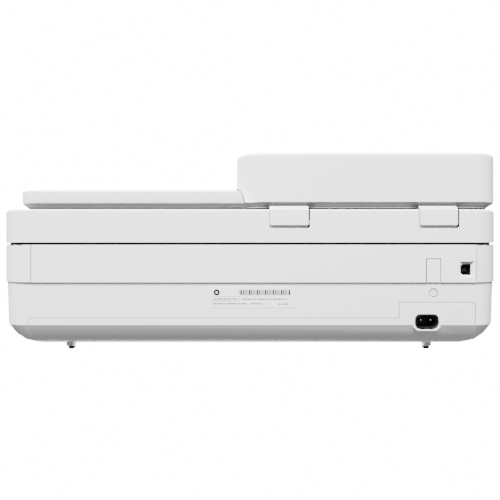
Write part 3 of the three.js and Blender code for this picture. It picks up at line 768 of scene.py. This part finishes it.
# A dark ring of painted shade in the gap between the scanner and the body below it.
bm = bmesh.new()
outer, inner = rounded(0, 0, 213.2, 177.4, 22.5, 10), rounded(0, 0, 212.2, 176.4, 21.5, 10)
add_ring(bm, outer, inner, 95.15, 96.75, "z")
piece("scanner_gap_shade", bm, SOCKET_BLACK_AND_GAP_SHADE, "scanner", "dark_plastic")


def dish_line(r):
    """The rear and -X edge of the lid's underside, seen in plan, with corner radius r."""
    cx, cy = -192.4, 154.5
    return [(2.5, cy + r)] + arc_line(cx, cy, r, 90, 180, 10) + [(cx - r, 60)]


def base_line(r):
    """The rear of the mid body's outline, with corners of radius r about the body's own corner centres."""
    reach, cy, turn = 191.2, 155.4, 54.0
    return arc_line(reach, cy, r, turn, 90, 8) + arc_line(-reach, cy, r, 90, 180 - turn, 8)


# The first and last bands are dark painted shade in the gaps under the lid and above the mid body; the middle
# one is the white lower edge of the lid's dish.
for name, line, outer_r, inner_r, low, high, *finish in (
    ("lid_light_seal", dish_line, 17.5, 16.5, 124.95, 127.08, SOCKET_BLACK_AND_GAP_SHADE, "lid", "dark_plastic"),
    ("lid_rim", dish_line, 18.0, 17.6, 126.5, 127.08, WHITE_LID, "lid", "white_shell"),
    ("base_top_gasket", base_line, 25.06, 23.5, 94.66, 95.1, SOCKET_BLACK_AND_GAP_SHADE, "base", "dark_plastic"),
):
    bm = bmesh.new()
    add_band(bm, line(outer_r), line(inner_r), low, high)
    piece(name, bm, *finish)

# ---------------------------------------------------------------- rear: painted shade lines in the seams and at the feeder's lap edge

# Dark lines of painted shade in the rear panel's seams and round the power button's gap.
REAR_PANEL = (180.33, 180.43)
# Upright lines: the middle of each, its half width and its top
UPRIGHTS = ((-191.3, 0.12, 94.5), (184.9, 0.3, 94.5), (-161.0, 0.28, 83.0), (-148.7, 0.48, 83.0))
seams = [(around(x, reach), REAR_PANEL, (63.2, top)) for x, reach, top in UPRIGHTS]
seams.append(((-161.2, -148.5), REAR_PANEL, (82.55, 83.0)))
box_piece("panel_seam_shade_lines", seams, SEAM_SHADE, "base", "dark_plastic")

# A dark line of painted shade where the feeder's body laps over the lid plate.
LAP_LINE = [(4.9, 130.4), (4.9, 132), (6.1, 136.3), (7.2, 138.5), (8.6, 140.2), (10.4, 141.3), (12.2, 141.9)]
bm = bmesh.new()
add_outline(bm, LAP_LINE, 0.9, 178.42, 178.6, closed=False)
piece("lap_seam_shade_line", bm, SHADOW_AND_PRINT, "lid", "dark_plastic")


def flap_shade_strips(low, high):
    """Dark strips of painted shade in the gap beside and below one hinge flap that spans low to high."""
    wall = (low - 1.38, low - 1.12)
    return [
        (wall, (172.7, 180.25), (109.7, 111.0)),
        (wall, (178.75, 180.25), (111.05, 115.35)),
        (wall, (172.7, 180.25), (115.4, 124.3)),
        ((low - 1.35, low - 0.3), (171.4, 172.1), (109.4, 124.3)),
        ((low - 0.2, high - 1.0), (178.9, 180.35), (108.72, 109.1)),
    ]


strips = [strip for low, high in FLAP_X for strip in flap_shade_strips(low, high)]
box_piece("flap_gap_shade", strips, SOCKET_BLACK_AND_GAP_SHADE, "scanner", "dark_plastic")

# ---------------------------------------------------------------- front: panel, buttons, tray

FRONT = (-180.03, -179.85)
bm = bmesh.new()
# A drop with its arc and tip
add_prism(bm, arc(-74, 109.3, 1.7, 2.15, 150, 390, 24), *FRONT)
add_outline(bm, [(-76, 110.2), (-74, 114.2), (-72, 110.2)], 0.4, *FRONT, closed=False)
# An information ring
add_ring(bm, circle(-50, 110.3, 2.9, 32), circle(-50, 110.3, 2.5, 32), *FRONT)
add_prism(bm, circle(-50, 111.7, 0.4, 12), *FRONT)
add_box(bm, (-50.3, -49.7), FRONT, (108.8, 110.8))
# A turning arrow
add_prism(bm, arc(52, 110.3, 2.4, 2.85, 40, 320, 28), *FRONT)
add_prism(bm, [(53.0, 112.9), (56.2, 112.6), (54.4, 110.4)], *FRONT)
# A wireless fan
signal_arcs(bm, 74, 108.0, (1.3, 2.5, 3.7), 0.22, 14, FRONT)
add_prism(bm, circle(74, 107.9, 0.5, 12), *FRONT)
# The frame round the number lamps
add_outline(bm, rounded(0, 110.5, 7.0, 4.6, 0.9, 4), 0.3, *FRONT)
piece("panel_icons", bm, ICON, "scanner", "label")

lamps = [(around(x, 1.2), FRONT, around(z, 0.18)) for x in (-5.0, 0.0, 5.0) for z in (108.6, 112.4)]
lamps.append(((-34, 34), FRONT, (102.2, 102.9)))
box_piece("panel_lamps", lamps, LAMP, "scanner", "glass", 0.05)

BUTTON_FACE = (-180.36, -180.2)
bm = bmesh.new()
add_outline(bm, rounded(-22.6, 109.9, 1.6, 2.2, 0.2, 2), 0.34, *BUTTON_FACE)
behind = [(-21.9, 112.9), (-19.6, 112.9), (-19.6, 109.1), (-20.4, 109.1)]
add_outline(bm, behind, 0.34, *BUTTON_FACE, closed=False)
piece("copy_mark", bm, ICON, "copy_button", "label")
bm = bmesh.new()
for rise in (-1.8, 1.8):
    add_outline(bm, [(20.2, 110.5 - rise), (23.8, 110.5 + rise)], 0.42, *BUTTON_FACE, closed=False)
piece("cancel_mark", bm, ICON, "cancel_button", "label")

OUTPUT_RIBS = (-110, -96, -82, -68, -54, 54, 68, 82, 96, 110)
box_piece("output_ribs", [(around(x, 0.8), (-160, 12), (42.9, 44.3)) for x in OUTPUT_RIBS],
          DARK, "base", "dark_plastic", 0.3)
TRAY_FLOOR = 13.5
TRAY_RIBS = (-90, -60, -30, 30, 60, 90)
box_piece("tray_ribs", [(around(x, 0.6), (-130, 60), (TRAY_FLOOR, 13.9)) for x in TRAY_RIBS],
          WHITE_PAN, "paper_tray", "white_shell", 0.1)
box_piece("tray_friction_pad", [((-12, 10), (79, 97), (TRAY_FLOOR, 14.1))],
          ROLLER, "paper_tray", "rubber", 0.2)
box_piece("tray_size_marks", [((44, 52), around(y, 0.25), (13.55, 13.7)) for y in (-120, -100, -80, -60)],
          PRINT_GREY, "paper_tray", "label")


def rib_span(face, depth, rise=0.05):
    """The limits of grip ribs that start inside a face at +-`face` and stand a little out of it."""
    return sorted((face - math.copysign(depth, face), face + math.copysign(rise, face)))


for name, face in (("left", -108.5), ("right", 108.5)):
    ribs = [(rib_span(face, 0.7), (-30, -8), (z, z + 1.3)) for z in (18.5 + 3.4 * k for k in range(4))]
    box_piece(f"guide_{name}_grip", ribs, GREY, f"width_guide_{name}", "grey_plastic", 0.2)
box_piece("length_guide_grip", [((-9, 9), (-164.05, -163.4), (17.5 + 3 * k, 18.7 + 3 * k)) for k in range(4)],
          GREY, "length_guide", "grey_plastic", 0.2)
box_piece("extender_grip", [((-14, 14), (-170 + 3.2 * k, -168.6 + 3.2 * k), (45.1, 45.6)) for k in range(5)],
          GREY, "output_extender", "grey_plastic", 0.2)

# ---------------------------------------------------------------- top: feeder and scanner bed

TOP = (172.85, 172.97)
bm = bmesh.new()
add_ring(bm, rounded(-44, -15, 7.4, 9.6, 0.8, 4), rounded(-44, -15, 6.9, 9.1, 0.5, 4), *TOP, "z")
for y in (-19.5, -16.5, -13.5, -10.5):
    add_prism(bm, [(-48, y - 0.25), (-40, y - 0.25), (-40, y + 0.25), (-48, y + 0.25)], *TOP, "z")
piece("feeder_page_mark", bm, ICON, "adf_input_flap", "label")
flap_ribs = [((-1.8 - 2.6 * k, -0.6 - 2.6 * k), (-36, 6), (172.6, 172.98)) for k in range(4)]
box_piece("feeder_flap_ribs", flap_ribs, WHITE_LID, "adf_input_flap", "white_shell", 0.08)

CHUTE_FLOOR = 147.9
chute_ribs = []
for k in range(9):
    rib_y = (-118 + 25.6 * k, -116.8 + 25.6 * k)
    chute_ribs.append(((-204, -172), rib_y, (CHUTE_FLOOR, 148.6)))
    chute_ribs.append(((-92, 0), rib_y, (CHUTE_FLOOR, 148.2)))
box_piece("feeder_chute_ribs", chute_ribs, DARK, "lid", "dark_plastic", 0.1)
box_piece("separation_pad", [((-128, -109), (-30, 0), (CHUTE_FLOOR, 149.6))], ROLLER, "lid", "rubber", 0.3)
for name, face in (("front", -125.0), ("rear", 95.0)):
    ribs = [((-70 + 4 * k, -68.4 + 4 * k), rib_span(face, 0.6), (153, 163)) for k in range(5)]
    box_piece(f"feeder_guide_{name}_grip", ribs, GREY, f"adf_guide_{name}", "grey_plastic", 0.2)

box_piece("scan_lens", [((-168.4, -163.6), (-122, 92), (117.0, 118.7))], GLASS, "scan_bar", "glass", 0.3)
box_piece("scan_lamp", [((-167.2, -166.4), (y, y + 3), (116.95, 117.4)) for y in range(-120, 92, 6)],
          LAMP, "scan_bar", "glass")
blocks = [((-174, -158), y, (102.5, 116.5)) for y in ((-133.3, -129.5), (99.5, 103.3))]
box_piece("scan_bar_ends", blocks, GREY, "scan_bar", "grey_plastic", 0.4)

BEZEL = (124.36, 124.47)
bm = bmesh.new()
add_prism(bm, [(-146.5, 103.5), (-150.5, 103.5), (-146.5, 99.5)], *BEZEL, "z")
for x in (-92, -38, 16, 65, 151):
    add_prism(bm, [(x - 0.2, 96.5), (x + 0.2, 96.5), (x + 0.2, 100.5), (x - 0.2, 100.5)], *BEZEL, "z")
for y in (-6, -54, -116):
    add_prism(bm, [(-147.5, y - 0.2), (-143.5, y - 0.2), (-143.5, y + 0.2), (-147.5, y + 0.2)], *BEZEL, "z")
piece("bed_size_marks", bm, PRINT_GREY, "scanner", "label")
box_piece("feeder_press_bar", [((-180, -152), (-128, 98), (125.0, 127.06))], FOAM, "lid", "pad", 0.3)
box_piece("scanner_flex", [((-150, 40), (18, 32), (98.9, 99.15)), ((40, 52), (16, 34), (98.9, 101))],
          FOAM, "scanner", "label", 0.08)

# ---------------------------------------------------------------- inside: carriage and cartridges

LATCH_TOP = 86.1


def cartridge_details(name, x0, x1, inks, dot):
    """A cartridge from x0 to x1: its label, colour patches and nozzles, and its latch's grip and dot."""
    centre = middle((x0, x1))
    bm = bmesh.new()
    add_prism(bm, rounded(centre, 51.5, 10.6, 13.6, 1.2, 4), 80.9, 81.12, "z")
    piece(f"cartridge_{name}_label", bm, PAPER_FILM, "carriage", "label")
    width = 15.0 / len(inks)
    for k, ink in enumerate(inks):
        left, right = centre - 7.5 + k * width + 0.3, centre - 7.5 + k * width + width - 0.3
        bm = bmesh.new()
        add_prism(bm, [(left, 47), (right, 47), (right, 53), (left, 53)], 81.05, 81.2, "z")
        piece(f"cartridge_{name}_patch_{k}", bm, ink, "carriage", "label")
    ribs = [((x0 + 7, x1 - 7), (34 + 2.6 * k, 35.1 + 2.6 * k), (LATCH_TOP, 86.7)) for k in range(4)]
    box_piece(f"latch_{name}_grip", ribs, GREY, f"latch_{name}", "grey_plastic", 0.15)
    bm = bmesh.new()
    add_prism(bm, circle(centre, 52, 2.6, 24), LATCH_TOP, 86.34, "z")
    piece(f"latch_{name}_dot", bm, dot, f"latch_{name}", "label")
    rows = [((x0 + 8 + k, x0 + 8.6 + k), (45, 55), (52.5, 52.66)) for k in range(12)]
    box_piece(f"nozzle_{name}", rows, GOLD, "carriage", "steel")


cartridge_details("black", 129.2, 156.6, (DARKER,), DARKER)
cartridge_details("colour", 159.4, 186.8, (CYAN, MAGENTA, YELLOW), CYAN)

box_piece("encoder_strip", [((-193.8, 193.8), (91.95, 92.1), (80, 84.5))], LAMP, "base", "glass")
box_piece("encoder_lines", [((x, x + 0.4), (91.93, 92.12), (80.6, 82.6)) for x in range(-192, 192, 4)],
          SHADOW_AND_PRINT, "base", "label")
rails = [((132, 184), (30.65, 31.05), z) for z in ((58, 60.4), (76, 78.4))]
posts = [(around(x, 0.8), (30.4, 31.05), (60, 76.4)) for x in (135, 158, 181)]
box_piece("carriage_front_ribs", rails + posts, DARK, "carriage", "dark_plastic", 0.2)

# ---------------------------------------------------------------- inside: drive, platen and service station

BELT_X, BELT_Y = 173.5, 97.1
bm = bmesh.new()
add_rod(bm, "z", BELT_X, BELT_Y, 3.4, 69.6, 76.4)
add_rod(bm, "z", BELT_X, BELT_Y, 1.2, 66.5, 79)
add_rod(bm, "z", -BELT_X, BELT_Y, 3.4, 69.6, 76.4)
piece("belt_pulleys", bm, GEAR, "base", "gear")
bm = bmesh.new()
add_box(bm, (165, 182), (92.9, 110.3), (66.0, 67.4))
add_box(bm, (-188, -159), (89.2, 110.3), (66.05, 67.3))
for x in (-184.5, -162.5):
    add_rod(bm, "z", x, 104, 1.9, 67.3, 68.5, 18)
piece("drive_brackets", bm, STEEL, "base", "steel", 0.2)
box_piece("motor_plug", [((-179, -168), (100, 109.2), (44.6, 47.2))], FOAM, "base", "dark_plastic", 0.2)
box_piece("belt_teeth", [((x, x + 1.6), (93.55, 93.85), (70.4, 75.6)) for x in range(-168, 168, 4)],
          RUBBER, "base", "rubber")

rib_rows = ((34, 45.4), (58.6, 72))
platen_ribs = [(around(x, 0.6), y, (50.9, 51.7)) for x in range(-112, 128, 16) for y in rib_rows]
box_piece("platen_ribs", platen_ribs, DARK, "base", "dark_plastic", 0.15)
box_piece("platen_absorber", [((-111.6, 111.6), (46.3, 57.7), (49.55, 50.4))], FOAM, "base", "pad", 0.2)
bm = bmesh.new()
for x in (142.9, 173.1):
    add_ring(bm, rounded(x, 50, 6.2, 9.4, 1.6, 5), rounded(x, 50, 4.6, 7.8, 1.2, 5), 42.2, 49.6, "z")
piece("nozzle_caps", bm, ROLLER, "base", "rubber", 0.2)
box_piece("wiper_blades", [(around(x, 0.4), (41, 61), (42.2, 51.2)) for x in (151.5, 157.5, 163.5)],
          ROLLER, "base", "rubber", 0.15)
box_piece("waste_foam", [((136.4, 175.6), (38.4, 67.6), (41.9, 42.6))], FOAM, "base", "pad", 0.2)
bm = bmesh.new()
for y, z, r in ((103, 35.4, 3.2), (96.6, 33.3, 2.6)):
    add_rod(bm, "x", y, z, r, -16.6, -15.4, 24)
piece("pick_arm_gears", bm, GEAR, "pick_arm", "gear")

# ---------------------------------------------------------------- inside: main board and power supply

BOARD_TOP = 67.4
SUNK = 67.3  # parts start a little inside the board


def on_board(x, y, width, depth, height):
    """A box on the main board, centred on x and y."""
    return (around(x, width / 2), around(y, depth / 2), (SUNK, BOARD_TOP + height))


CHIPS = (
    (-152, 146, 14, 14, 1.6), (-136, 150, 9, 12, 1.3), (-168, 132, 8, 8, 1.2), (-140, 128, 7, 10, 1.2),
    (-186, 146, 5, 7, 1.1),
)
box_piece("board_chips", [on_board(*chip) for chip in CHIPS], DARKER, "base", "dark_plastic", 0.15)
bm = bmesh.new()
for x, y in ((-192, 122), (-184, 122), (-176, 122), (-192, 131)):
    add_rod(bm, "z", x, y, 2.9, SUNK, 75.5, 24, 0.5)
piece("board_capacitors", bm, STEEL, "base", "steel")
PLUGS = ((-150, 118.4, 22, 5.4), (-133, 165, 6, 14), (-168, 118.4, 8, 5.4), (-134, 138, 5, 9))
box_piece("board_plugs", [on_board(*plug, 5.0) for plug in PLUGS], FOAM, "base", "label", 0.25)
small_parts = [(around(-163 + 3.6 * k, 0.9), around(155.6 + 2.3 * row, 0.45), (67.35, 68.0))
               for row in range(7) for k in range(9)]
box_piece("board_small_parts", small_parts, GOLD, "base", "steel")

bm = bmesh.new()
add_prism(bm, rounded(-166, 133, 19, 11, 1.0, 4), 43.9, 44.15, "z")
piece("supply_label", bm, PAPER_FILM, "base", "label")
box_piece("supply_label_lines", [((-182, -154), (y, y + 0.7), (44.1, 44.22)) for y in range(126, 141, 3)],
          PRINT_GREY, "base", "label")
# The vent slots are dark strips of painted shade, not openings.
box_piece("supply_vent_shade", [((-136.05, -135.7), (118 + 3.6 * k, 119.8 + 3.6 * k), (18, 38)) for k in range(9)],
          SHADOW_AND_PRINT, "base", "dark_plastic")

# ---------------------------------------------------------------- stage and light

# A white backdrop fills the directions the camera looks in.
# The rest of the room is dim, so that undersides stay dark.
BACKDROP, ROOM = 16.0, 0.34
BACKDROP_EDGE = (-0.735, -0.765)  # the Y part of a direction where the room turns into backdrop
world = bpy.data.worlds.new("studio")
world.use_nodes = True
tree = world.node_tree
sky = tree.nodes.new("ShaderNodeTexCoord")
split = tree.nodes.new("ShaderNodeSeparateXYZ")
tree.links.new(sky.outputs["Generated"], split.inputs["Vector"])
edge = tree.nodes.new("ShaderNodeMapRange")
edge.interpolation_type = "SMOOTHSTEP"
edge.inputs["From Min"].default_value, edge.inputs["From Max"].default_value = BACKDROP_EDGE
edge.inputs["To Min"].default_value = ROOM
edge.inputs["To Max"].default_value = BACKDROP
tree.links.new(split.outputs["Y"], edge.inputs["Value"])
tree.nodes["Background"].inputs["Color"].default_value = (1, 1, 1, 1)
tree.links.new(edge.outputs["Result"], tree.nodes["Background"].inputs["Strength"])
bpy.context.scene.world = world


def area_light(name, location, target, size, power):
    """A rectangular light, in metres and watts, turned towards a target."""
    data = bpy.data.lights.new(name, "AREA")
    data.shape = "RECTANGLE"
    data.size, data.size_y = size
    data.energy = power
    light = bpy.data.objects.new(name, data)
    bpy.context.collection.objects.link(light)
    light.location = location
    light.rotation_euler = (Vector(target) - Vector(location)).to_track_quat("-Z", "Y").to_euler()


area_light("key_rear", location=(0.35, 1.4, 1.95), target=(0, 0.18, 0.08), size=(1.6, 0.7), power=330)
